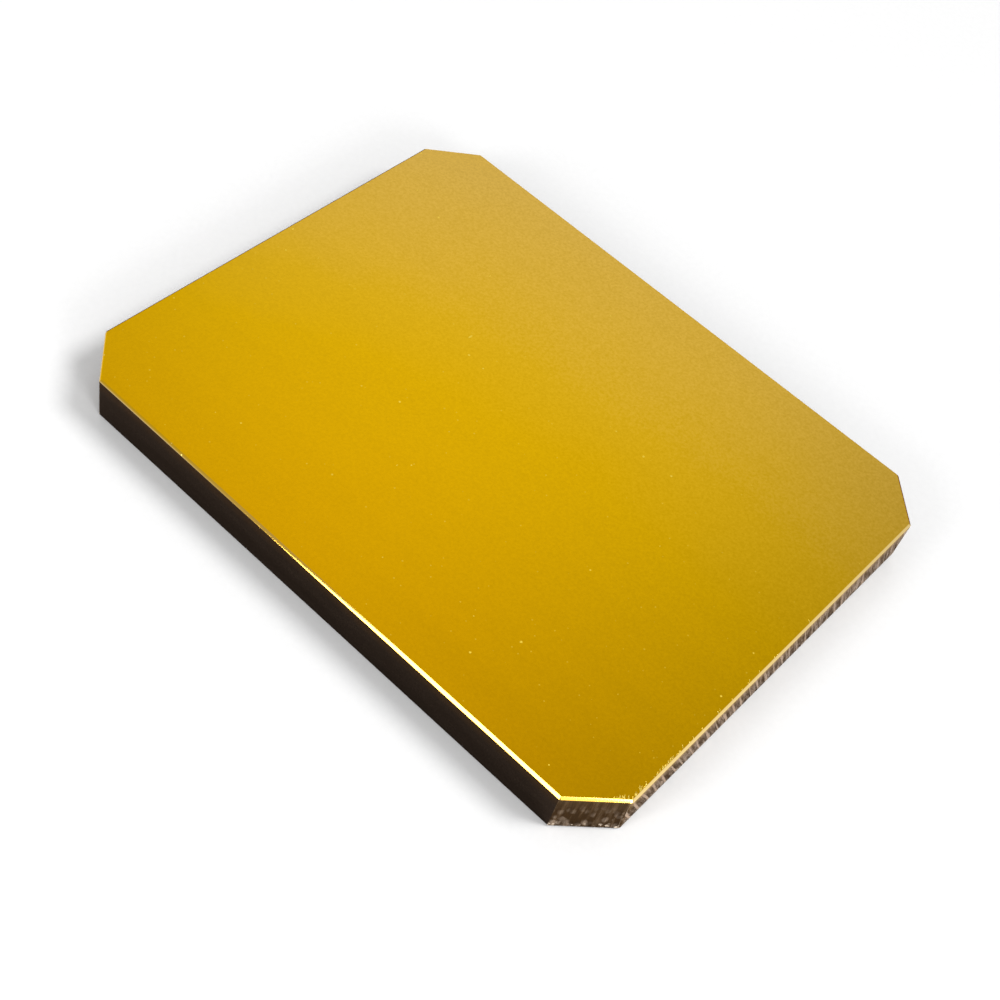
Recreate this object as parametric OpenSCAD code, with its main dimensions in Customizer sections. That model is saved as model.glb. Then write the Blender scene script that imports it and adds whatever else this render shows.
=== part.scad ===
// Infrared optical window: one flat plate of crystal with polished, coated faces.
// The outline is a rectangle whose four corners are cut off at 45 degrees. A narrow 45-degree bevel
// protects the rim of each face, and the eight upright edges are blunted by a thin flat.
//
// The plate lies with its back face on Z = 0 and its front face up. The origin is the centre of the
// back face, X runs along the long sides and Y along the short sides.

/* [Plate] */
// Length of the plate, between the two short walls
plate_length = 150; // [60:1:300]
// Width of the plate, between the two long walls
plate_width = 120; // [60:1:300]
// Thickness of the plate, from the back face to the front face
plate_thickness = 11.5; // [4:0.5:30]

/* [Corners] */
// Length cut off each side where a corner of the rectangle is taken away at 45 degrees
corner_cut = 10; // [2:0.5:25]
// Width of the flat that blunts each upright edge
edge_flat = 0.3; // [0.1:0.05:1]

/* [Rim bevels] */
// Leg of the 45-degree bevel round the front face
front_bevel = 0.5; // [0.1:0.05:1.5]
// Leg of the 45-degree bevel round the back face
back_bevel = 0.5; // [0.1:0.05:1.5]

/* [Hidden] */

// Colour of the coat on the faces
coat_colour = "goldenrod";

// Turn from a wall of the outline to the corner cut beside it, and half of that turn
cut_turn = 45;
half_turn = cut_turn / 2;

// The two ends of a corner cut, in the quarter of the plan where X and Y are positive
short_wall_end = [plate_length / 2, plate_width / 2 - corner_cut];
long_wall_end = [plate_length / 2 - corner_cut, plate_width / 2];

// Distance from the centre to a line that faces direction a and passes through a point of the plan
function reach(point, a) = point * [cos(a), sin(a)];

// The same for the flat that takes the place of the sharp upright edge at that point
function flat_reach(point, a) = reach(point, a) - edge_flat / 2 * tan(half_turn);

// Every pair of opposite sides of the outline, as [direction they face, distance from the centre]
side_pairs = [
    [0, plate_length / 2],
    [90, plate_width / 2],
    for (a = [cut_turn, -cut_turn])
        [a, reach(short_wall_end, cut_turn)],
    for (a = [half_turn, -half_turn])
        [a, flat_reach(short_wall_end, half_turn)],
    for (a = [90 - half_turn, half_turn - 90])
        [a, flat_reach(long_wall_end, 90 - half_turn)],
];

// Cross-section of the plate: flat faces, upright walls and a bevel at each rim
module plate_section(half_width) {
    polygon([
        [-half_width + back_bevel, 0],
        [half_width - back_bevel, 0],
        [half_width, back_bevel],
        [half_width, plate_thickness - front_bevel],
        [half_width - front_bevel, plate_thickness],
        [-half_width + front_bevel, plate_thickness],
        [-half_width, plate_thickness - front_bevel],
        [-half_width, back_bevel],
    ]);
}

// A slab with that section, whose two sides face direction a and its opposite.
// It is longer than the plate's diagonal, so only its sides and faces cut.
module slab(a, half_width) {
    rotate([90, 0, a])
        linear_extrude(height = 2 * norm([plate_length, plate_width]), center = true)
            plate_section(half_width);
}

// The plate is what the slabs of all its sides share, so the bevels meet in clean mitres
module window() {
    color(coat_colour)
        intersection_for(pair = side_pairs)
            slab(pair[0], pair[1]);
}

window();
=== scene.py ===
# %% [markdown]
# # An infrared optical window
#
# The object is one flat plate of germanium, a grey metallic crystal that heat rays pass through. Its
# outline is a rectangle with the four corners cut off. Both faces are polished and carry a
# gold-coloured coat, and a narrow bevel protects each rim from chipping.
#
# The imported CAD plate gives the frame. Its sizes could be written here once more, but then the two
# models could drift apart. So the CAD plate is measured, in metres, and everything below is placed by
# what was measured.

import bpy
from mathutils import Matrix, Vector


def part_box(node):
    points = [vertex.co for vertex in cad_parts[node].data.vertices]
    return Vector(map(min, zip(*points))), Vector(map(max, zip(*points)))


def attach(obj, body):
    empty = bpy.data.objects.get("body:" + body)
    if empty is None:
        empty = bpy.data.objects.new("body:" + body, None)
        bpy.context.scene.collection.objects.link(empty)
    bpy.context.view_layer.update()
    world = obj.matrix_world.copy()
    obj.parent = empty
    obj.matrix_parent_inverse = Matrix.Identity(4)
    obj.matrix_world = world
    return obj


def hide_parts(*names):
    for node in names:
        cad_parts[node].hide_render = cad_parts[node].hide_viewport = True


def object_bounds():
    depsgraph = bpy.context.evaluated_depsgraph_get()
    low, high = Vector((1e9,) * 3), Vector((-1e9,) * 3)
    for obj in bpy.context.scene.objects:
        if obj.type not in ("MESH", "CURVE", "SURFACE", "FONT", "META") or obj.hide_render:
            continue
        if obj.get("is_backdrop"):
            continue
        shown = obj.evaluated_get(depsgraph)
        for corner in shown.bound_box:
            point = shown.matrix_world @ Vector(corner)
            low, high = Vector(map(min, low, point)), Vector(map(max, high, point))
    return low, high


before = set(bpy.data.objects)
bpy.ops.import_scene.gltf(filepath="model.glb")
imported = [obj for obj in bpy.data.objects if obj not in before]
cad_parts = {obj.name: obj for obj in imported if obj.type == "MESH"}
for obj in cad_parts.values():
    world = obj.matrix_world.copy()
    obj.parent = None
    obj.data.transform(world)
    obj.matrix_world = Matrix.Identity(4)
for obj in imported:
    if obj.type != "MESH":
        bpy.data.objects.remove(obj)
cad_box = [list(corner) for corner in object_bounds()]

import math
import random

import bpy
from mathutils import Matrix, Vector

MM = 0.001
low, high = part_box("window")
length, width, thickness = high - low
middle = (low + high) / 2
print(f"the plate is {length / MM:.1f} x {width / MM:.1f} x {thickness / MM:.1f} mm")

# %% [markdown]
# ## The camera
#
# The plate is seen from above its near long side, from a third of a metre away, with the camera tipped
# about its own line of sight. A camera can be turned by three angles, but two points are easier to
# read: one is where it stands, the other is what it looks at on the front face. The tip is a last turn
# about that line.

# %% Place the camera
CAMERA_AT = Vector((112.5, -207.8, 278.7)) * MM
CAMERA_AIM = Vector((10.92, -17.05, 11.5)) * MM
CAMERA_TIP = math.radians(17.8)
CAMERA_LENS = 59.1
NEAREST_SEEN = 10 * MM

camera_data = bpy.data.cameras.new("camera")
camera_data.lens = CAMERA_LENS
camera_data.clip_start = NEAREST_SEEN
camera = bpy.data.objects.new("camera", camera_data)
bpy.context.scene.collection.objects.link(camera)
sight = CAMERA_AIM - CAMERA_AT
level = sight.to_track_quat("-Z", "Y").to_matrix().to_4x4()
camera.matrix_world = Matrix.Translation(CAMERA_AT) @ level @ Matrix.Rotation(CAMERA_TIP, 4, "Z")
bpy.context.scene.camera = camera
print(f"the camera is {sight.length / MM:.0f} mm from what it looks at")

# %% [markdown]
# ## Helpers for work by hand
#
# Operators act on what is selected, as they do when a person works in the window. These helpers
# deselect everything, then select edges or faces by a rule about where they are or where they face,
# and step into edit mode for one operator. Edges could be picked by their numbers instead, but a number
# says nothing to a reader and changes with every cut.


# %% Select by rule
def only(piece):
    """Make one object selected and active, in object mode."""
    bpy.ops.object.select_all(action="DESELECT")
    piece.select_set(True)
    bpy.context.view_layer.objects.active = piece


def start_edit(piece, kind):
    """Step into edit mode on one object, ready for edges or faces, with none selected."""
    only(piece)
    bpy.ops.object.mode_set(mode="EDIT")
    bpy.ops.mesh.select_mode(type=kind)
    bpy.ops.mesh.select_all(action="DESELECT")


def pick(piece, kind, rule):
    """Select the piece's edges or faces that the rule accepts, and say how many they are."""
    start_edit(piece, kind)
    bpy.ops.object.mode_set(mode="OBJECT")
    elements = piece.data.edges if kind == "EDGE" else piece.data.polygons
    count = 0
    for element in elements:
        element.select = rule(element)
        count += element.select
    bpy.ops.object.mode_set(mode="EDIT")
    return count


def ends(edge):
    """The two end points of one of the plate's edges."""
    return [plate.data.vertices[i].co for i in edge.vertices]


# %% [markdown]
# ## The blank
#
# A real window starts as a sawn block. The CAD plate's own mesh could be copied here, but it is made of
# loose triangles. A cube at the size and place of the CAD plate takes the same three cuts as the
# crystal does in the workshop, and every cut leaves clean faces to dress. Applying the scale and the
# location moves both into the mesh, so that the cuts are in true millimetres.

# %% Saw the blank
bpy.ops.object.select_all(action="DESELECT")
bpy.ops.mesh.primitive_cube_add(size=1, location=middle, scale=(length, width, thickness))
plate = bpy.context.object
plate.name = plate.data.name = "window_plate"
bpy.ops.object.transform_apply(location=True, rotation=True, scale=True)
print("faces of the blank:", len(plate.data.polygons))

# %% [markdown]
# ## The corner cuts
#
# A sharp corner of crystal breaks at the first knock, so the optician cuts each one off at 45 degrees.
# Four wedges could be taken away by Booleans. The bevel operator does the same to all four upright
# edges at once, and its OFFSET width is measured along the neighbouring walls, which is how such a cut
# is written on a drawing.

# %% Cut the corners
CORNER_CUT = 10 * MM
NEAR = 0.01 * MM


def is_upright(edge):
    start, end = ends(edge)
    return abs(start.x - end.x) < NEAR and abs(start.y - end.y) < NEAR


print("upright edges cut:", pick(plate, "EDGE", is_upright))
bpy.ops.mesh.bevel(offset=CORNER_CUT, offset_type="OFFSET", segments=1, affect="EDGES")
bpy.ops.object.mode_set(mode="OBJECT")

# %% [markdown]
# ## The blunted uprights and the rim bevels
#
# Each cut leaves two new upright edges. They are blunted by a flat a third of a millimetre wide, given
# as the WIDTH of the new face. Then both rims get the protective bevel, again by its leg. One bevel on
# all the edges would be shorter, but the flats and the bevels differ in width. The uprights come first,
# so that the rim bevel runs round the flats as well and meets itself in mitres.

# %% Blunt the uprights and bevel the rims
EDGE_FLAT = 0.3 * MM
RIM_BEVEL = 0.5 * MM


def is_rim(edge):
    start, end = ends(edge)
    return abs(start.z - end.z) < NEAR


print("upright edges blunted:", pick(plate, "EDGE", is_upright))
bpy.ops.mesh.bevel(offset=EDGE_FLAT, offset_type="WIDTH", segments=1, affect="EDGES")
bpy.ops.object.mode_set(mode="OBJECT")
print("rim edges bevelled:", pick(plate, "EDGE", is_rim))
bpy.ops.mesh.bevel(offset=RIM_BEVEL, offset_type="OFFSET", segments=1, affect="EDGES")
bpy.ops.object.mode_set(mode="OBJECT")
print("faces of the plate:", len(plate.data.polygons))

# %% [markdown]
# ## Nodes and finishes
#
# Every finish below is a material made from nodes. Nodes can be placed one line at a time, but a recipe
# then runs to hundreds of lines. Here one helper makes the material and another adds a node and fills
# its inputs by name or number, so that a recipe reads from top to bottom. The last one fills the shader
# itself and says how large the recipe has grown.


# %% Node helpers
def new_material(name):
    """A material, its node tree and its one Principled shader."""
    material = bpy.data.materials.new(name)
    material.use_nodes = True
    return material, material.node_tree, material.node_tree.nodes["Principled BSDF"]


def fill(tree, node, inputs):
    """Set or link a node's inputs, each given by its name or number."""
    for key, value in inputs.items():
        if isinstance(value, bpy.types.NodeSocket):
            tree.links.new(value, node.inputs[key])
        else:
            node.inputs[key].default_value = value
    return node


def add(tree, kind, inputs=None, **settings):
    """Add a node, with its own settings first, because they can change which inputs it has."""
    node = tree.nodes.new("ShaderNode" + kind)
    for key, value in settings.items():
        setattr(node, key, value)
    return fill(tree, node, inputs or {})


def surface(material, shader, inputs):
    """Give the material's shader its inputs, which ends the recipe."""
    fill(material.node_tree, shader, inputs)
    print(f"{material.name}: {len(material.node_tree.nodes)} nodes")


# %% [markdown]
# Most of a recipe is arithmetic on numbers that change over the surface. A number that goes from 0 to 1
# and says where something shows is a mask: `mask` makes one from a place or a pattern, and `spread`
# turns one into any other range, such as a roughness.


# %% Helpers for numbers
def maths(tree, operation, *values):
    """One Math node. Its result is a number."""
    return add(tree, "Math", dict(enumerate(values)), operation=operation).outputs[0]


def remap(tree, value, from_low, from_high, to_low, to_high):
    """Stretch one range of numbers over another, and stop at its ends."""
    start = {"Value": value, "From Min": from_low, "From Max": from_high}
    return add(tree, "MapRange", {**start, "To Min": to_low, "To Max": to_high}).outputs["Result"]


def mask(tree, value, start, full):
    """A mask that is 0 where the value is start or before, and 1 where it is full or beyond."""
    return remap(tree, value, start, full, 0.0, 1.0)


def spread(tree, share, start, full):
    """Turn a mask into another number: start where the mask is 0, full where it is 1."""
    return remap(tree, share, 0.0, 1.0, start, full)


# %% [markdown]
# A finish is colours laid over one another, each by its own mask, on a surface that a bump makes look
# uneven. Patterns are asked for at the point that is being shaded. They read it in the plate's own
# metres, so a size in a recipe is a size on the plate.


# %% Helpers for colours, bumps and points
def blend_colours(tree, share, first, second, blend_type="MIX"):
    """One colour over another, where share goes from 0, only the first, to 1."""
    node = add(tree, "Mix", {0: share, 6: first, 7: second}, data_type="RGBA", blend_type=blend_type)
    return node.outputs[2]


def shade_by(tree, colour, factor):
    """A colour made lighter or darker by a factor that changes over the surface."""
    grey = add(tree, "CombineColor", {0: factor, 1: factor, 2: factor}).outputs[0]
    return blend_colours(tree, 1.0, colour, grey, "MULTIPLY")


def bump(tree, height, strength, distance, over=None):
    """The normal of a surface that rises by distance where height is 1, over another one if given."""
    inputs = {"Strength": strength, "Distance": distance, "Height": height}
    if over is not None:
        inputs["Normal"] = over
    return add(tree, "Bump", inputs).outputs[0]


def here(tree):
    """The point being shaded, in the plate's own metres."""
    return add(tree, "TexCoord").outputs["Object"]


def squeeze(tree, point, factors):
    """A point scaled along each axis. A factor below 1 draws a pattern out along that axis."""
    return add(tree, "VectorMath", {0: point, 1: factors}, operation="MULTIPLY").outputs[0]


# %% [markdown]
# ## Shared effects
#
# Three effects turn up in more than one finish: fine grain, drawn marks and specks. Their nodes could
# be repeated in each material, but a node group is built once and placed with other values in each,
# and a change to it reaches them all. A group gives out only numbers that change over the surface.
# What the material does with them is decided in the material.


# %% Group helpers
def new_group(name, inputs, outputs):
    """A node group and the sockets on its inside: what comes in, and where its results go."""
    group = bpy.data.node_groups.new(name, "ShaderNodeTree")
    for socket, (kind, value) in inputs.items():
        made = group.interface.new_socket(name=socket, in_out="INPUT", socket_type="NodeSocket" + kind)
        if value is not None:
            made.default_value = value
    for socket in outputs:
        group.interface.new_socket(name=socket, in_out="OUTPUT", socket_type="NodeSocketFloat")
    given = group.nodes.new("NodeGroupInput").outputs
    result = group.nodes.new("NodeGroupOutput")
    return group, given, result


def use(tree, group, inputs):
    """Place a group in a material with values of its own."""
    node = tree.nodes.new("ShaderNodeGroup")
    node.node_tree = group
    return fill(tree, node, inputs).outputs


# %% [markdown]
# Fine grain is the last trace of the polishing or grinding powder, an even small unevenness. A picture
# of ground crystal could be laid over the surface, but noise has no seams and never repeats. Noise
# seldom leaves the middle of its range, so that middle is stretched to a full mask.

# %% Group: fine grain
NOISE_RANGE = (0.3, 0.7)

fine_grain, given, result = new_group(
    "fine_grain", {"Point": ("Vector", None), "Size": ("Float", 0.4 * MM)}, ["Grain"]
)
scale = maths(fine_grain, "DIVIDE", 1.0, given["Size"])
inputs = {"Vector": given["Point"], "Scale": scale, "Detail": 3.0, "Roughness": 0.6}
noise = add(fine_grain, "TexNoise", inputs).outputs[0]
fill(fine_grain, result, {"Grain": mask(fine_grain, noise, *NOISE_RANGE)})
print(fine_grain.name, "takes", [socket.name for socket in given if socket.name])

# %% [markdown]
# Drawn marks are left by a cloth or a saw that moves one way. Scratches could be drawn one by one, but
# the same noise on a squeezed point gives thousands of them: it is drawn out along the axis whose
# factor is below 1.

# %% Group: drawn marks
drawn_marks, given, result = new_group(
    "drawn_marks",
    {"Point": ("Vector", None), "Size": ("Float", 1 * MM), "Stretch": ("Vector", (0.1, 1, 1))},
    ["Marks"],
)
squeezed = squeeze(drawn_marks, given["Point"], given["Stretch"])
scale = maths(drawn_marks, "DIVIDE", 1.0, given["Size"])
inputs = {"Vector": squeezed, "Scale": scale, "Detail": 4.0, "Roughness": 0.65}
noise = add(drawn_marks, "TexNoise", inputs).outputs[0]
fill(drawn_marks, result, {"Marks": mask(drawn_marks, noise, *NOISE_RANGE)})
print(drawn_marks.name, "takes", [socket.name for socket in given if socket.name])

# %% [markdown]
# Specks are small round spots at random places: dust on the coat, nicks on a bevel, pale blots and
# crumbs on a wall. Each could be a piece of its own, but there are thousands and they are almost flat.
# A Voronoi pattern deals out cells and says how far each point is from the middle of its cell. The
# cell's own random colour decides whether it has a speck at all, and how large: `Size` is a radius, and
# each speck has its own share of it.

# %% Group: specks
SPECK_SHARES = (0.5, 1.4)
SPECK_EDGE = 0.5

specks, given, result = new_group("specks", {
    "Point": ("Vector", None),
    "Spacing": ("Float", 8 * MM),
    "Size": ("Float", 0.2 * MM),
    "Share": ("Float", 0.3),
}, ["Specks"])
scale = maths(specks, "DIVIDE", 1.0, given["Spacing"])
inputs = {"Vector": given["Point"], "Scale": scale, "Randomness": 1.0}
cells = add(specks, "TexVoronoi", inputs, feature="F1")
chance = add(specks, "SeparateColor", {0: cells.outputs["Color"]}).outputs
own_size = maths(specks, "MULTIPLY", given["Size"], spread(specks, chance[1], *SPECK_SHARES))
reach = maths(specks, "DIVIDE", own_size, given["Spacing"])
dot = maths(specks, "SUBTRACT", 1.0, maths(specks, "DIVIDE", cells.outputs["Distance"], reach))
soft_dot = mask(specks, dot, 0.0, SPECK_EDGE)
chosen = maths(specks, "LESS_THAN", chance[0], given["Share"])
fill(specks, result, {"Specks": maths(specks, "MULTIPLY", soft_dot, chosen)})
print(specks.name, "takes", [socket.name for socket in given if socket.name])

# %% [markdown]
# ## The gold coat
#
# The gold look is no gold leaf. It is a stack of clear films, each about a thousandth of a millimetre
# thick, whose reflections add up to yellow. The shader has thin film inputs, but they follow one film
# and not a stack. A metallic surface with a deep yellow base colour gives the same mirror, and its
# colour can be set directly.
#
# The films grow thinner away from the middle of the coating chamber, so lines of equal colour are wide
# arcs, from a deep gold along one long side to a paler straw along the other. The straw is partly that
# drift and partly painted sheen: the paleness that the coat shows at a glancing angle is painted into
# the far side. A parabola is close enough to such an arc. A ramp with four colours runs across it, and
# slow noise bends its contours. On the pale side, where the films are thin, the grain of the polish
# shifts the colour too. That gives it a fine mottling.

# %% Gold coat: the drift of its colour and a painted sheen
DEEP_GOLD = (0.70, 0.362, 0.0006, 1)
CLEAR_GOLD = (0.70, 0.404, 0.0008, 1)
SOFT_GOLD = (0.70, 0.415, 0.008, 1)
STRAW_SHEEN_GOLD = (0.70, 0.441, 0.072, 1)
STRAW_BEYOND = 20 * MM
ARC_CENTRE = 42 * MM
ARC_RADIUS = 200 * MM
ARC_WANDER = 8 * MM
ARC_WANDER_SIZE = 30 * MM
COAT_GRAIN = 0.65 * MM
GRAIN_WANDER = 8 * MM
PALE_SIDE = (-20 * MM, 30 * MM)

gold_coat, tree, shader = new_material("gold_coat")
point = here(tree)
along, across, _ = add(tree, "SeparateXYZ", {0: point}).outputs
slow = add(tree, "TexNoise", {"Vector": point, "Scale": 1 / ARC_WANDER_SIZE, "Detail": 3.0}).outputs[0]
wander = spread(tree, slow, -ARC_WANDER, ARC_WANDER)
aside = maths(tree, "SUBTRACT", along, ARC_CENTRE)
arc = maths(tree, "DIVIDE", maths(tree, "MULTIPLY", aside, aside), 2 * ARC_RADIUS)
grain = use(tree, fine_grain, {"Point": point, "Size": COAT_GRAIN})["Grain"]
mottling = spread(tree, grain, -GRAIN_WANDER, GRAIN_WANDER)
on_pale_side = mask(tree, across, *PALE_SIDE)
unsteady = maths(tree, "MULTIPLY_ADD", mottling, on_pale_side, wander)
thinning = maths(tree, "ADD", maths(tree, "ADD", across, arc), unsteady)
# The straw end of the ramp is partly painted sheen, the paleness of a glancing view.
drift = add(tree, "ValToRGB", {0: mask(tree, thinning, low.y, high.y + STRAW_BEYOND)})
drift.color_ramp.elements[0].color = DEEP_GOLD
drift.color_ramp.elements[1].color = STRAW_SHEEN_GOLD
drift.color_ramp.elements.new(0.45).color = CLEAR_GOLD
drift.color_ramp.elements.new(0.60).color = SOFT_GOLD
print("the coat drifts through", len(drift.color_ramp.elements), "colours")

# %% [markdown]
# Dust lies on the coat in three sizes: a fine powder, larger motes, and a few fibres, which are motes
# drawn out along the width. There is less of it towards the far side. Motes could lie on the plate as
# pieces, but at a quarter of a millimetre they are only dots, so they are specks of the finish.

# %% Gold coat: the dust
MOTES = {"Spacing": 4.4 * MM, "Size": 0.27 * MM, "Share": 0.55}
POWDER = {"Spacing": 2.0 * MM, "Size": 0.18 * MM, "Share": 0.7}
FIBRES = {"Spacing": 5 * MM, "Size": 0.24 * MM, "Share": 0.25}
FIBRE_STRETCH = (1, 0.35, 1)
POWDER_STRENGTH = 0.4
FAR_SIDE_DUST = 0.45

motes = use(tree, specks, {"Point": point, **MOTES})["Specks"]
powder = use(tree, specks, {"Point": point, **POWDER})["Specks"]
drawn_out = squeeze(tree, point, FIBRE_STRETCH)
fibres = use(tree, specks, {"Point": drawn_out, **FIBRES})["Specks"]
large = maths(tree, "MAXIMUM", motes, fibres)
all_dust = maths(tree, "MAXIMUM", large, maths(tree, "MULTIPLY", powder, POWDER_STRENGTH))
dust = maths(tree, "MULTIPLY", all_dust, remap(tree, across, low.y, high.y, 1.0, FAR_SIDE_DUST))
for name, sort in (("motes", MOTES), ("powder", POWDER), ("fibres", FIBRES)):
    print(f"{name}: in {sort['Share']:.0%} of the cells, which are {sort['Spacing'] / MM:.1f} mm apart")

# %% [markdown]
# The polish leaves an even grain and the last wiping leaves faint drawn marks. They change the
# brightness by a few percent and the roughness a little, so that the mirror isn't a computer's perfect
# one. The grain could go into the bump alone, but then it would show only where the mirrored light
# changes. Dust is paler than the coat and scatters light, so under it the metal gives way to a duller
# skin.

# %% Gold coat: the finish
DUST_COLOUR = (0.95, 0.70, 0.06, 1)
GRAIN_DEPTH = (0.09, 0.17)
WIPING = {"Size": 5 * MM, "Stretch": (0.12, 1, 1)}
WIPING_DEPTH = 0.02
COAT_ROUGHNESS = (0.07, 0.11)
GRAIN_HEIGHT = 0.02 * MM

wiping = use(tree, drawn_marks, {"Point": point, **WIPING})["Marks"]
grain_depth = remap(tree, across, low.y, high.y, *GRAIN_DEPTH)
grain_shade = maths(tree, "MULTIPLY_ADD", maths(tree, "SUBTRACT", grain, 0.5), grain_depth, 1.0)
wiping_shade = spread(tree, wiping, 1 - WIPING_DEPTH, 1 + WIPING_DEPTH)
coat = shade_by(tree, drift.outputs[0], maths(tree, "MULTIPLY", grain_shade, wiping_shade))
polish = maths(tree, "ADD", spread(tree, grain, *COAT_ROUGHNESS), spread(tree, wiping, 0.0, 0.05))
height = maths(tree, "ADD", maths(tree, "MULTIPLY", grain, 0.06), dust)
surface(gold_coat, shader, {
    "Base Color": blend_colours(tree, dust, coat, DUST_COLOUR),
    "Metallic": spread(tree, dust, 1.0, 0.5),
    "Roughness": maths(tree, "ADD", polish, maths(tree, "MULTIPLY", dust, 0.4)),
    "Normal": bump(tree, height, 0.15, GRAIN_HEIGHT),
})

# %% [markdown]
# ## The bevels
#
# The rims are bevelled before coating, so the bevel takes the coat too: a rich gold along the long
# sides and the corner cuts. The two short sides are painted a paler gold, which is painted sheen: the
# paleness that a film shows when it is seen at a glancing angle. At the end towards -X the gold is
# deeper next to the face, and the outer edge is painted pale as a painted highlight, the thin line of
# light that a slightly rounded edge catches. Each of these could be a finish of its own on faces of its
# own, but they have no sharp ends, so one finish blends its colours along and across the bevel.

# %% Coated bevel: its colours
RICH_GOLD = (0.82, 0.50, 0.08, 1)
INNER_GOLD = (0.80, 0.47, 0.015, 1)
# Next: a painted highlight for the outer edge at the -X end, then a paler gold painted as sheen on the
# short sides.
EDGE_HIGHLIGHT_GOLD = (0.96, 0.70, 0.28, 1)
SHEEN_PALE_GOLD = (0.70, 0.54, 0.24, 1)
SHORT_SIDE_SHEEN = 0.9
PAINTED_END = (-45 * MM, -15 * MM)

coated_bevel, tree, shader = new_material("coated_bevel")
point = here(tree)
along, _, up = add(tree, "SeparateXYZ", {0: point}).outputs
outward = maths(tree, "ABSOLUTE", along)
short_side = (high.x - RIM_BEVEL, high.x - 0.9 * RIM_BEVEL)
on_short_side = remap(tree, outward, *short_side, 0.0, SHORT_SIDE_SHEEN)
across_bevel = remap(tree, up, high.z - RIM_BEVEL, high.z, -1.0, 1.0)
next_to_face = mask(tree, across_bevel, -0.5, 0.3)
highlight_by_wall = mask(tree, across_bevel, -0.35, -0.75)
# Where the painted highlight and the deeper gold next to the face show.
at_painted_end = remap(tree, along, *PAINTED_END, 1.0, 0.0)
long_side = RICH_GOLD
for strip, strip_gold in ((next_to_face, INNER_GOLD), (highlight_by_wall, EDGE_HIGHLIGHT_GOLD)):
    share = maths(tree, "MULTIPLY", strip, at_painted_end)
    long_side = blend_colours(tree, share, long_side, strip_gold)
# The short sides take the paler gold, a painted sheen.
coat = blend_colours(tree, on_short_side, long_side, SHEEN_PALE_GOLD)
# The wear that the next lines print is the painted highlight and deeper gold at the -X end.
highlight_full_mm, highlight_gone_mm = ((place - low.x) / MM for place in PAINTED_END)
print(f"the wear is full for {highlight_full_mm:.0f} mm from the -X end and gone after {highlight_gone_mm:.0f} mm")

# %% [markdown]
# The bevel is ground finer than the walls but not polished like the faces, so it has small nicks. A
# bevel ground by hand is never quite flat. This one bulges by a hundredth of a millimetre, which is too
# little to model and just enough for a bump: the bright line along it then starts and ends softly.
#
# Films lose their colour when they are seen along the surface, and the dark tint for glancing light
# stands for that. It is the same all over, so it is set straight on the shader.

# %% Coated bevel: the finish
NICK_GOLD = (0.86, 0.68, 0.20, 1)
GLANCING_DARK = (0.15, 0.08, 0.05, 1)
NICKS = {"Spacing": 1.6 * MM, "Size": 0.22 * MM, "Share": 0.4}
BEVEL_GRAIN = 0.25 * MM
BEVEL_ROUGHNESS = (0.03, 0.08)
BULGE = 0.01 * MM

grain = use(tree, fine_grain, {"Point": point, "Size": BEVEL_GRAIN})["Grain"]
nicks = use(tree, specks, {"Point": point, **NICKS})["Specks"]
crown = maths(tree, "SUBTRACT", 1.0, maths(tree, "MULTIPLY", across_bevel, across_bevel))
crowned = bump(tree, crown, 1.0, BULGE)
rough_height = maths(tree, "SUBTRACT", grain, nicks)
polish = spread(tree, grain, *BEVEL_ROUGHNESS)
surface(coated_bevel, shader, {
    "Base Color": blend_colours(tree, nicks, coat, NICK_GOLD),
    "Metallic": 1.0,
    "Specular Tint": GLANCING_DARK,
    "Roughness": maths(tree, "ADD", polish, maths(tree, "MULTIPLY", nicks, 0.25)),
    "Normal": bump(tree, rough_height, 0.1, GRAIN_HEIGHT, over=crowned),
})

# %% [markdown]
# ## The walls
#
# The walls are bare crystal, darkened so that stray heat isn't passed on through the rim. The long
# walls are smooth. The short walls and the corner cuts are left rougher. All of them change from the
# foot to the front rim. Each finish could work out the height for itself, but a shared group keeps the
# two in step: `Rise` goes from 0 at the foot to 1 at the front face, and `Band` only wakes up near the
# front rim.

# %% Group: height on the wall
rim_band, given, result = new_group(
    "rim_band", {"Point": ("Vector", None), "Reach": ("Float", 3 * MM)}, ["Band", "Rise"]
)
up = add(rim_band, "SeparateXYZ", {0: given["Point"]}).outputs["Z"]
start = maths(rim_band, "SUBTRACT", high.z, given["Reach"])
fill(rim_band, result, {
    "Band": mask(rim_band, up, start, high.z),
    "Rise": mask(rim_band, up, low.z, high.z),
})
print(rim_band.name, "gives", [socket.name for socket in result.inputs if socket.name])

# %% [markdown]
# The smooth wall is a nearly black metal, a little warmer next to the front rim, where the coat has
# crept over the bevel. It could be plain black lacquer, but that would shine white at a low angle. A
# dark metal with a tint of its own for glancing light turns brownish instead when it is seen along its
# length.

# %% Finish: smooth wall
WALL_BLACK = (0.026, 0.0185, 0.0135, 1)
WALL_WARM = (0.060, 0.030, 0.010, 1)
GLANCING_BROWN = (0.60, 0.56, 0.54, 1)
WALL_GRAIN = 0.5 * MM
WALL_ROUGHNESS = (0.18, 0.26)
WALL_STREAKS = {"Size": 2.5 * MM, "Stretch": (0.15, 1, 1)}
WARM_REACH = 3.5 * MM

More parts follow.
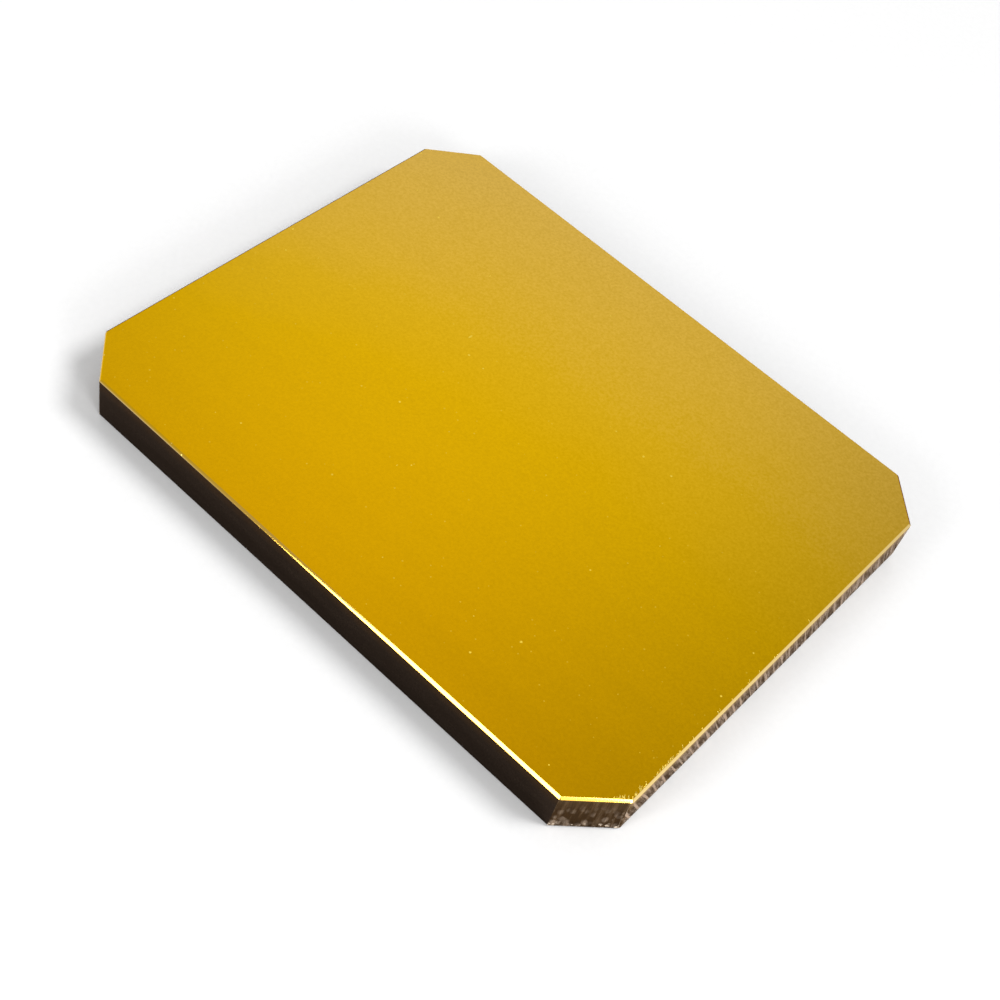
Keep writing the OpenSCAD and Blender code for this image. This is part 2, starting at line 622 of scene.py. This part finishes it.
smooth_wall, tree, shader = new_material("smooth_wall")
point = here(tree)
grain = use(tree, fine_grain, {"Point": point, "Size": WALL_GRAIN})["Grain"]
streaks = use(tree, drawn_marks, {"Point": point, **WALL_STREAKS})["Marks"]
band = use(tree, rim_band, {"Point": point, "Reach": WARM_REACH})["Band"]
warmth = maths(tree, "MULTIPLY", band, spread(tree, streaks, 0.5, 1.0))
cloudy = maths(tree, "MULTIPLY", spread(tree, grain, 0.8, 1.2), spread(tree, streaks, 0.85, 1.15))
polish = spread(tree, grain, *WALL_ROUGHNESS)
surface(smooth_wall, shader, {
    "Base Color": blend_colours(tree, warmth, shade_by(tree, WALL_BLACK, cloudy), WALL_WARM),
    "Metallic": 1.0,
    "Specular Tint": GLANCING_BROWN,
    "Roughness": maths(tree, "ADD", polish, maths(tree, "MULTIPLY", streaks, 0.06)),
    "Normal": bump(tree, grain, 0.1, GRAIN_HEIGHT),
})

# %% [markdown]
# ## The sawn walls
#
# The short walls still show the saw: thin pale ridges at one pitch, all leaning the same way, which
# grow fainter towards the far end. They could be modelled, but they are only hundredths of a millimetre
# high, so colour and a bump stand for them. A sine wave gives the pitch, and only its top is a ridge. A
# pattern that is drawn out along the ridges makes them wander, and adding a share of the height to the
# run along the wall makes them lean, with the sign of X, so that both short walls lean alike when they
# are seen from outside. The corner cuts have no ridges, only upright streaks, so the lean is switched
# off there.

# %% Sawn wall: ridges and streaks
SAW_PITCH = 2.9 * MM
SAW_WANDER = 1.6 * MM
SAW_LEAN = 0.6
WAVE_TOP = (0.76, 0.97)
FAR_RIDGES = 0.35
SHORT_WALL = (high.x - 0.5 * MM, high.x - 0.2 * MM)
SLOW_WANDER = {"Size": 5 * MM, "Stretch": (1, 1, 0.1)}
SAW_STREAKS = {"Size": 1.1 * MM, "Stretch": (1, 1, 0.12)}
FADE_OUT = (-20 * MM, 50 * MM)

sawn_wall, tree, shader = new_material("sawn_wall")
point = here(tree)
along, across, up = add(tree, "SeparateXYZ", {0: point}).outputs
outward = maths(tree, "ABSOLUTE", along)
on_short_wall = mask(tree, outward, *SHORT_WALL)
lean = maths(tree, "MULTIPLY", on_short_wall, SAW_LEAN)
signed_lean = maths(tree, "MULTIPLY", maths(tree, "SIGN", along), lean)
run = maths(tree, "MULTIPLY_ADD", up, signed_lean, across)
leaning = add(tree, "CombineXYZ", {0: along, 1: run, 2: up}).outputs[0]

wander = use(tree, drawn_marks, {"Point": leaning, **SLOW_WANDER})["Marks"]
streaks = use(tree, drawn_marks, {"Point": leaning, **SAW_STREAKS})["Marks"]
phase = maths(tree, "MULTIPLY_ADD", wander, SAW_WANDER, run)
wave = maths(tree, "SINE", maths(tree, "MULTIPLY", phase, 2 * math.pi / SAW_PITCH))
sharp = mask(tree, wave, *WAVE_TOP)
crests = maths(tree, "MULTIPLY", sharp, remap(tree, streaks, 0.1, 0.5, 0.5, 1.0))
fading = remap(tree, across, *FADE_OUT, 1.0, FAR_RIDGES)
ridges = maths(tree, "MULTIPLY", crests, maths(tree, "MULTIPLY", on_short_wall, fading))
lean_angle = math.degrees(math.atan(SAW_LEAN))
print(f"saw ridges: {SAW_PITCH / MM:.1f} mm apart, leaning {lean_angle:.0f} degrees")

# %% [markdown]
# Low down, the wall has soft round pale blots, taller than they are wide, and at the very foot pale
# crumbs of crystal sit in the painted shade that darkens the foot. Noise alone could make such patches,
# but its edges wander and these are round, so both are specks again, with sizes of their own.

# %% Sawn wall: blots, crumbs and painted shade at the foot
BLOTS = {"Spacing": 1.3 * MM, "Size": 0.8 * MM, "Share": 0.75}
BLOT_STRETCH = (1, 1, 0.6)
CRUMBS = {"Spacing": 0.8 * MM, "Size": 0.42 * MM, "Share": 0.45}
CREEP_REACH = 5.5 * MM

rim = use(tree, rim_band, {"Point": point, "Reach": CREEP_REACH})
tall = squeeze(tree, point, BLOT_STRETCH)
spots = use(tree, specks, {"Point": tall, **BLOTS})["Specks"]
low_down = remap(tree, rim["Rise"], 0.2, 0.8, 1.0, 0.05)
patchy = maths(tree, "MULTIPLY", low_down, remap(tree, streaks, 0.25, 0.75, 0.25, 1.0))
blots = maths(tree, "MULTIPLY", spots, patchy)
streaks_low_down = remap(tree, rim["Rise"], 0.0, 0.9, 1.0, 0.35)
mottle = maths(tree, "MULTIPLY", remap(tree, streaks, 0.45, 1.0, 0.0, 0.5), streaks_low_down)
pale_patches = maths(tree, "MINIMUM", maths(tree, "ADD", mottle, blots), 1.0)
flakes = use(tree, specks, {"Point": point, **CRUMBS})["Specks"]
crumbs = maths(tree, "MULTIPLY", flakes, remap(tree, rim["Rise"], 0.10, 0.22, 1.0, 0.0))
# Painted shade: the wall is darker towards its foot.
clear_of_foot_shade = remap(tree, rim["Rise"], 0.05, 0.35, 0.55, 1.0)
print("the sawn wall's pattern takes", len(tree.nodes), "nodes")

# %% [markdown]
# The colours go on one over another: first a painted shade, a near-black that darkens the foot where
# the wall meets the floor, then the dark finish, the pale patches, crumbs, ridges, and last the coat
# that has crept down from the rim, most of all on the short walls. Crumbs scatter light, ridges and
# coat mirror it, and the rest lies between the two. Several shaders could be mixed for that, but one
# shader whose Metallic and Roughness change from place to place is lighter and bakes cleanly.

# %% Sawn wall: the finish
# The first colour is painted shade at the foot of the wall.
FOOT_SHADE = (0.004, 0.003, 0.002, 1)
SAWN_DARK = (0.037, 0.0215, 0.0115, 1)
SAWN_PALE = (0.27, 0.21, 0.16, 1)
CRUMB_PALE = (0.66, 0.54, 0.42, 1)
RIDGE_PALE = (0.54, 0.445, 0.36, 1)
CREPT_COAT = (0.38, 0.26, 0.13, 1)
GLANCING_DUN = (0.80, 0.62, 0.48, 1)
CREEP_FALL = 1.7
CREEP_ON_CUTS = 0.12
SAWN_ROUGHNESS = (0.45, 0.2)
SAW_MARK_HEIGHT = 0.04 * MM

crept = maths(tree, "POWER", rim["Band"], CREEP_FALL)
creep_here = maths(tree, "MULTIPLY", crept, spread(tree, on_short_wall, CREEP_ON_CUTS, 1.0))
creep = maths(tree, "MULTIPLY", creep_here, remap(tree, streaks, 0.2, 0.7, 0.65, 1.0))
# Painted shade at the foot, under the dark finish.
colour = blend_colours(tree, clear_of_foot_shade, FOOT_SHADE, SAWN_DARK)
layers = ((pale_patches, SAWN_PALE), (crumbs, CRUMB_PALE), (ridges, RIDGE_PALE), (creep, CREPT_COAT))
for share, layer in layers:
    colour = blend_colours(tree, share, colour, layer)
bright = maths(tree, "MAXIMUM", ridges, creep)
shine = maths(tree, "MAXIMUM", remap(tree, streaks, 0.2, 0.8, 0.3, 0.9), bright)
height = maths(tree, "ADD", maths(tree, "ADD", pale_patches, ridges), streaks)
surface(sawn_wall, shader, {
    "Base Color": colour,
    "Metallic": maths(tree, "MULTIPLY", shine, maths(tree, "SUBTRACT", 1.0, crumbs)),
    "Specular IOR Level": 0.0,
    "Specular Tint": GLANCING_DUN,
    "Roughness": remap(tree, streaks, 0.1, 0.9, *SAWN_ROUGHNESS),
    "Normal": bump(tree, height, 0.4, SAW_MARK_HEIGHT),
})

# %% [markdown]
# ## The broken edge
#
# Where a flake of crystal has come away, the coat is gone and the break is full of tiny facets. They
# could be modelled, but they are far finer than the flake itself. A very fine grain in the bump breaks
# up the mirror instead, so that the break is bright from every side.

# %% Finish: broken edge
FRESH_GOLD = (0.92, 0.64, 0.06, 1)
FRESH_PALE = (0.97, 0.78, 0.20, 1)
FACET_GRAIN = 0.12 * MM
FACET_ROUGHNESS = (0.25, 0.45)

broken_edge, tree, shader = new_material("broken_edge")
grain = use(tree, fine_grain, {"Point": here(tree), "Size": FACET_GRAIN})["Grain"]
surface(broken_edge, shader, {
    "Base Color": blend_colours(tree, grain, FRESH_GOLD, FRESH_PALE),
    "Metallic": 1.0,
    "Roughness": spread(tree, grain, *FACET_ROUGHNESS),
    "Normal": bump(tree, grain, 0.5, GRAIN_HEIGHT),
})

# %% [markdown]
# ## Each face gets its finish
#
# Faces could be given their finishes by number, but a number says nothing about a face. The direction
# that it looks in does. Only level faces are coated mirrors. Faces that slant upwards are coated
# bevels. Upright ones are walls, smooth where they look straight along the plate's width and sawn
# elsewhere. The bevels of the back rim slant downwards and get the dark finish of the smooth walls
# instead of the coat, for painted shade at the foot: they send no gold light into the gap under the
# plate, so the plate stands on a thin dark line. Every face starts with the first finish in the list,
# the gold coat.

# %% Assign the finishes
LEVEL, UPRIGHT = 0.9, 0.1
STRAIGHT_ON = 0.99


def is_bevel(face):
    return UPRIGHT < face.normal.z < LEVEL


def is_smooth_wall(face):
    # It also takes the back rim's bevels, darkened for painted shade at the foot.
    return abs(face.normal.y) > STRAIGHT_ON or -LEVEL < face.normal.z < -UPRIGHT


def is_sawn_wall(face):
    return abs(face.normal.z) < UPRIGHT and not is_smooth_wall(face)


def finish_faces(piece, finish, rule):
    """Give this finish to the faces that the rule accepts."""
    print(f"{piece.name}, faces with finish {finish.name}:", pick(piece, "FACE", rule))
    piece.active_material_index = finishes.index(finish)
    bpy.ops.object.material_slot_assign()
    bpy.ops.object.mode_set(mode="OBJECT")


finishes = (gold_coat, coated_bevel, smooth_wall, sawn_wall, broken_edge)
for finish in finishes:
    plate.data.materials.append(finish)
finish_faces(plate, coated_bevel, is_bevel)
finish_faces(plate, smooth_wall, is_smooth_wall)
finish_faces(plate, sawn_wall, is_sawn_wall)

# %% [markdown]
# ## The chips
#
# Crystal is brittle. One corner has been knocked, and small flakes have broken out of the face along
# its bevel there, so that the line looks ragged. A bump could hint at them, but a real facet catches
# the light as a bump can't. So every chip is cut by a small faceted ball, which is modelled once and
# copied. The cutter carries the same list of finishes as the plate, with all its faces set to the
# broken edge, because a Boolean hands the cutter's finish on to what it cuts.

# %% The cutter and its copies
CHIPS = 64


def is_any(face):
    return True


bpy.ops.object.select_all(action="DESELECT")
bpy.ops.mesh.primitive_ico_sphere_add(subdivisions=1, radius=1)
ball = bpy.context.object
ball.name = ball.data.name = "chip_cutter"
for finish in finishes:
    ball.data.materials.append(finish)
finish_faces(ball, broken_edge, is_any)
chips = [ball]
for _ in range(CHIPS - 1):
    only(ball)
    bpy.ops.object.duplicate()
    chips.append(bpy.context.object)
print("chips:", len(chips), "with", len(ball.data.polygons), "faces each")

# %% [markdown]
# Each copy is stretched, turned to run inwards from the rim and sunk into the face by a few hundredths
# of a millimetre. Its course is in degrees from +X. The chips could be placed by hand, but chance with
# a fixed seed is as ragged as breakage is, and the same every time. They crowd at the knocked corner
# and thin out along the short side. Every sixth one goes the other way, along the corner cut, and only
# a quarter as far.

# %% Scatter the chips
CHIP_THINNING = 12 * MM
FURTHEST_CHIP = 85 * MM
CHIP_COURSE = 130
COURSE_SPREAD = 18
CHIP_RUN_MM = (0.35, 1.4)
CHIP_WIDTH_MM = (0.08, 0.15)
CHIP_DEPTH_MM = (0.04, 0.08)
CHIP_INWARD = (0.15, 0.5)
ALONG_CUT_EVERY = 6
ALONG_CUT_SHARE = 1 / 4

random.seed(11)
knocked = Vector((high.x - RIM_BEVEL, low.y + CORNER_CUT, high.z))
corner_cut_way = Vector((-0.707, -0.707, 0))
for number, chip in enumerate(chips):
    distance = min(random.expovariate(1 / CHIP_THINNING), FURTHEST_CHIP)
    course = math.radians(CHIP_COURSE + random.uniform(-COURSE_SPREAD, COURSE_SPREAD))
    run = random.uniform(*CHIP_RUN_MM) * MM
    along_rim = Vector((0, distance, 0))
    if number % ALONG_CUT_EVERY == 0:
        along_rim = corner_cut_way * distance * ALONG_CUT_SHARE
    inward = Vector((math.cos(course), math.sin(course), 0)) * run * random.uniform(*CHIP_INWARD)
    chip.location = knocked + along_rim + inward
    chip.rotation_euler = (0, 0, course)
    chip.scale = (run / 2, random.uniform(*CHIP_WIDTH_MM) * MM, random.uniform(*CHIP_DEPTH_MM) * MM)
    only(chip)
    bpy.ops.object.transform_apply(location=True, rotation=True, scale=True)
furthest = max(chip.data.vertices[0].co.y for chip in chips) - knocked.y
print(f"the chips reach {furthest / MM:.0f} mm along the short side")

# %% [markdown]
# The chips could be taken away one by one. It is quicker to join the copies into one cutter and take
# them away by one Boolean, which is told that the cutter may overlap itself. A closed mesh has no open
# edge left, which the last line checks.

# %% Break out the chips
bpy.ops.object.select_all(action="DESELECT")
for chip in chips:
    chip.select_set(True)
bpy.context.view_layer.objects.active = ball
bpy.ops.object.join()

only(plate)
breaking = plate.modifiers.new("chips", "BOOLEAN")
breaking.operation = "DIFFERENCE"
breaking.solver = "EXACT"
breaking.use_self = True
breaking.object = ball
bpy.ops.object.modifier_apply(modifier=breaking.name)
only(ball)
bpy.ops.object.delete()

print("faces after the chips:", len(plate.data.polygons))
start_edit(plate, "EDGE")
bpy.ops.mesh.select_non_manifold()
bpy.ops.object.mode_set(mode="OBJECT")
print("open edges:", sum(edge.select for edge in plate.data.edges))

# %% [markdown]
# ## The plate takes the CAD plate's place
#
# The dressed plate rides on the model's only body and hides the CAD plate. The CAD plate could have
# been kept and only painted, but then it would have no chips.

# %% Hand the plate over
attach(plate, "root")
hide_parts("window")
print(plate.name, "stands for the CAD node window")

# %% [markdown]
# ## The floor
#
# The plate lies on a plain pale floor. A small backdrop with a bent-up end is the usual one in a
# studio, but it looks right from one side only. A flat floor runs on for many metres, so that it meets
# the room at the horizon even in a low view, and its fine grain keeps it from looking like a computer's
# perfect plane.

# %% Lay the floor
FLOOR_SIDE = 80
FLOOR_GRAIN = 1.5 * MM
FLOOR_ROUGHNESS = (0.6, 0.7)
FLOOR_SHADES = ((0.84, 0.84, 0.84, 1), (0.86, 0.86, 0.86, 1))

bpy.ops.object.select_all(action="DESELECT")
bpy.ops.mesh.primitive_plane_add(size=FLOOR_SIDE, location=(middle.x, middle.y, low.z))
floor = bpy.context.object
floor.name = floor.data.name = "floor"
bpy.ops.object.transform_apply(location=True, rotation=True, scale=True)

pale_floor, tree, shader = new_material("pale_floor")
grain = use(tree, fine_grain, {"Point": here(tree), "Size": FLOOR_GRAIN})["Grain"]
surface(pale_floor, shader, {
    "Base Color": blend_colours(tree, grain, *FLOOR_SHADES),
    "Roughness": spread(tree, grain, *FLOOR_ROUGHNESS),
    "Specular IOR Level": 0.2,
})
floor.data.materials.append(pale_floor)
floor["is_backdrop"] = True

# %% [markdown]
# ## The light
#
# A mirror shows what stands opposite it, so the light is built as the things that the plate mirrors. A
# picture of a studio could be wrapped round the scene, but then nothing in it could be moved. So the
# room is an even grey, brighter towards the horizon, with soft round glows. Two of them stand behind
# the plate, and the gold face shows them as its slow change of brightness. Three more are for the
# bevels and walls, and one is overhead for a view from the top.
#
# Directions are given as an azimuth, where 0 is towards -Y and 90 towards +X, and an elevation above
# the floor, both in degrees. A glow has a half width in degrees and a strength as well.


# %% Helpers for directions and glows
def toward(azimuth, elevation):
    """The unit vector that points to a place in the room."""
    turn, rise = math.radians(azimuth), math.radians(elevation)
    return Vector((math.sin(turn) * math.cos(rise), -math.cos(turn) * math.cos(rise), math.sin(rise)))


def glow(tree, direction, azimuth, elevation, half_width, strength):
    """A soft round patch of light. It falls to a third of its strength at its half width."""
    inputs = {0: direction, 1: toward(azimuth, elevation)}
    nearness = add(tree, "VectorMath", inputs, operation="DOT_PRODUCT")
    sharpness = 2 / math.radians(half_width) ** 2
    fall = maths(tree, "MULTIPLY_ADD", nearness.outputs["Value"], sharpness, -sharpness)
    return maths(tree, "MULTIPLY", maths(tree, "EXPONENT", fall), strength)


# %% [markdown]
# The room is one grey number that changes with the direction. It sinks from the horizon to the ceiling
# as the height grows, quickly at first, and every glow is added to it. Solid cards of light could hang
# there instead, but the plate would mirror their edges.

# %% The room
CEILING, HORIZON, FALL = 0.30, 0.80, 0.45
GLOWS_BEHIND = ((216, 48, 17, 0.61), (196, 45, 8, 0.15))
GLOWS_FOR_RIMS = ((114, 8, 25, 0.72), (58, 27, 12, 1.9), (-34, 25, 12, 0.12))
GLOW_OVERHEAD = (0, 90, 16, 0.40)

world = bpy.data.worlds.new("studio")
bpy.context.scene.world = world
world.use_nodes = True
tree = world.node_tree
direction = add(tree, "TexCoord").outputs["Generated"]
height = add(tree, "SeparateXYZ", {0: direction}).outputs["Z"]
sinking = maths(tree, "EXPONENT", maths(tree, "DIVIDE", height, -FALL))
brightness = maths(tree, "MULTIPLY_ADD", sinking, HORIZON - CEILING, CEILING)
for place in (*GLOWS_BEHIND, *GLOWS_FOR_RIMS, GLOW_OVERHEAD):
    brightness = maths(tree, "ADD", glow(tree, direction, *place), brightness)
fill(tree, tree.nodes["Background"], {"Color": (1, 1, 1, 1), "Strength": brightness})
print("the room has", len(tree.nodes), "nodes")

# %% [markdown]
# Glows are too soft for a bright line or a clear shadow, so three lamps do the rest. A lamp is given
# like a glow, by its direction from the plate, and is turned to face it. A softbox could be given by
# its power, but what a mirror shows is how bright its surface looks, so that is given, and its power is
# worked out from it.


# %% Helpers for lamps
SOFTBOX_DISTANCE = 1.2


def new_lamp(name, kind, azimuth, elevation, distance=0.0, roll=0.0):
    """A lamp in a direction seen from the plate, facing it, and turned about its own axis by roll."""
    data = bpy.data.lights.new(name, kind)
    lamp = bpy.data.objects.new(name, data)
    bpy.context.scene.collection.objects.link(lamp)
    out = toward(azimuth, elevation)
    facing = out.to_track_quat("Z", "Y").to_matrix().to_4x4()
    rolled = Matrix.Rotation(math.radians(roll), 4, "Z")
    lamp.matrix_world = Matrix.Translation(middle + out * distance) @ facing @ rolled
    return lamp


def softbox(name, azimuth, elevation, size_x, size_y, radiance, roll=0.0):
    """A rectangular lamp that the camera doesn't see. Radiance is how bright its surface looks."""
    lamp = new_lamp(name, "AREA", azimuth, elevation, distance=SOFTBOX_DISTANCE, roll=roll)
    lamp.data.shape = "RECTANGLE"
    lamp.data.size, lamp.data.size_y = size_x, size_y
    lamp.data.energy = radiance * math.pi * size_x * size_y
    lamp.visible_camera = False
    return lamp


# %% [markdown]
# The key is a broad sun on the right, which lights the whole floor alike and throws the plate's short
# shadow to the left. The two softboxes stand low in front and on the right, where the bevels of the
# near rims mirror them as bright lines. The front one is rolled about its own axis, so that its edge
# slants across what the bevel mirrors and the bright line starts thin.
#
# The view transform is the plain one, because the others would make a deep gold paler.

# %% Place the lamps
KEY_STRENGTH = 1.78
KEY_WIDTH = math.radians(24)

key = new_lamp("key_light", "SUN", azimuth=125, elevation=52)
key.data.energy = KEY_STRENGTH
key.data.angle = KEY_WIDTH
softbox("front_softbox", azimuth=-11.5, elevation=24, size_x=0.46, size_y=0.34, radiance=10, roll=68)
softbox("right_softbox", azimuth=69.6, elevation=25, size_x=0.30, size_y=0.34, radiance=12)
bpy.context.scene.view_settings.view_transform = "Standard"
print("lamps:", [light.name for light in bpy.data.lights])

# %% [markdown]
# ## Close the script
#
# The box round the finished model is kept beside the CAD model's own, so that the two can be
# compared. They should be the same, because nothing here changes the plate's size.

# %% Measure and finish
visual_box = [list(corner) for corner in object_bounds()]
for name, (least, most) in (("CAD", cad_box), ("visual", visual_box)):
    print(name, "size in mm:", [round((end - start) / MM, 2) for start, end in zip(least, most)])
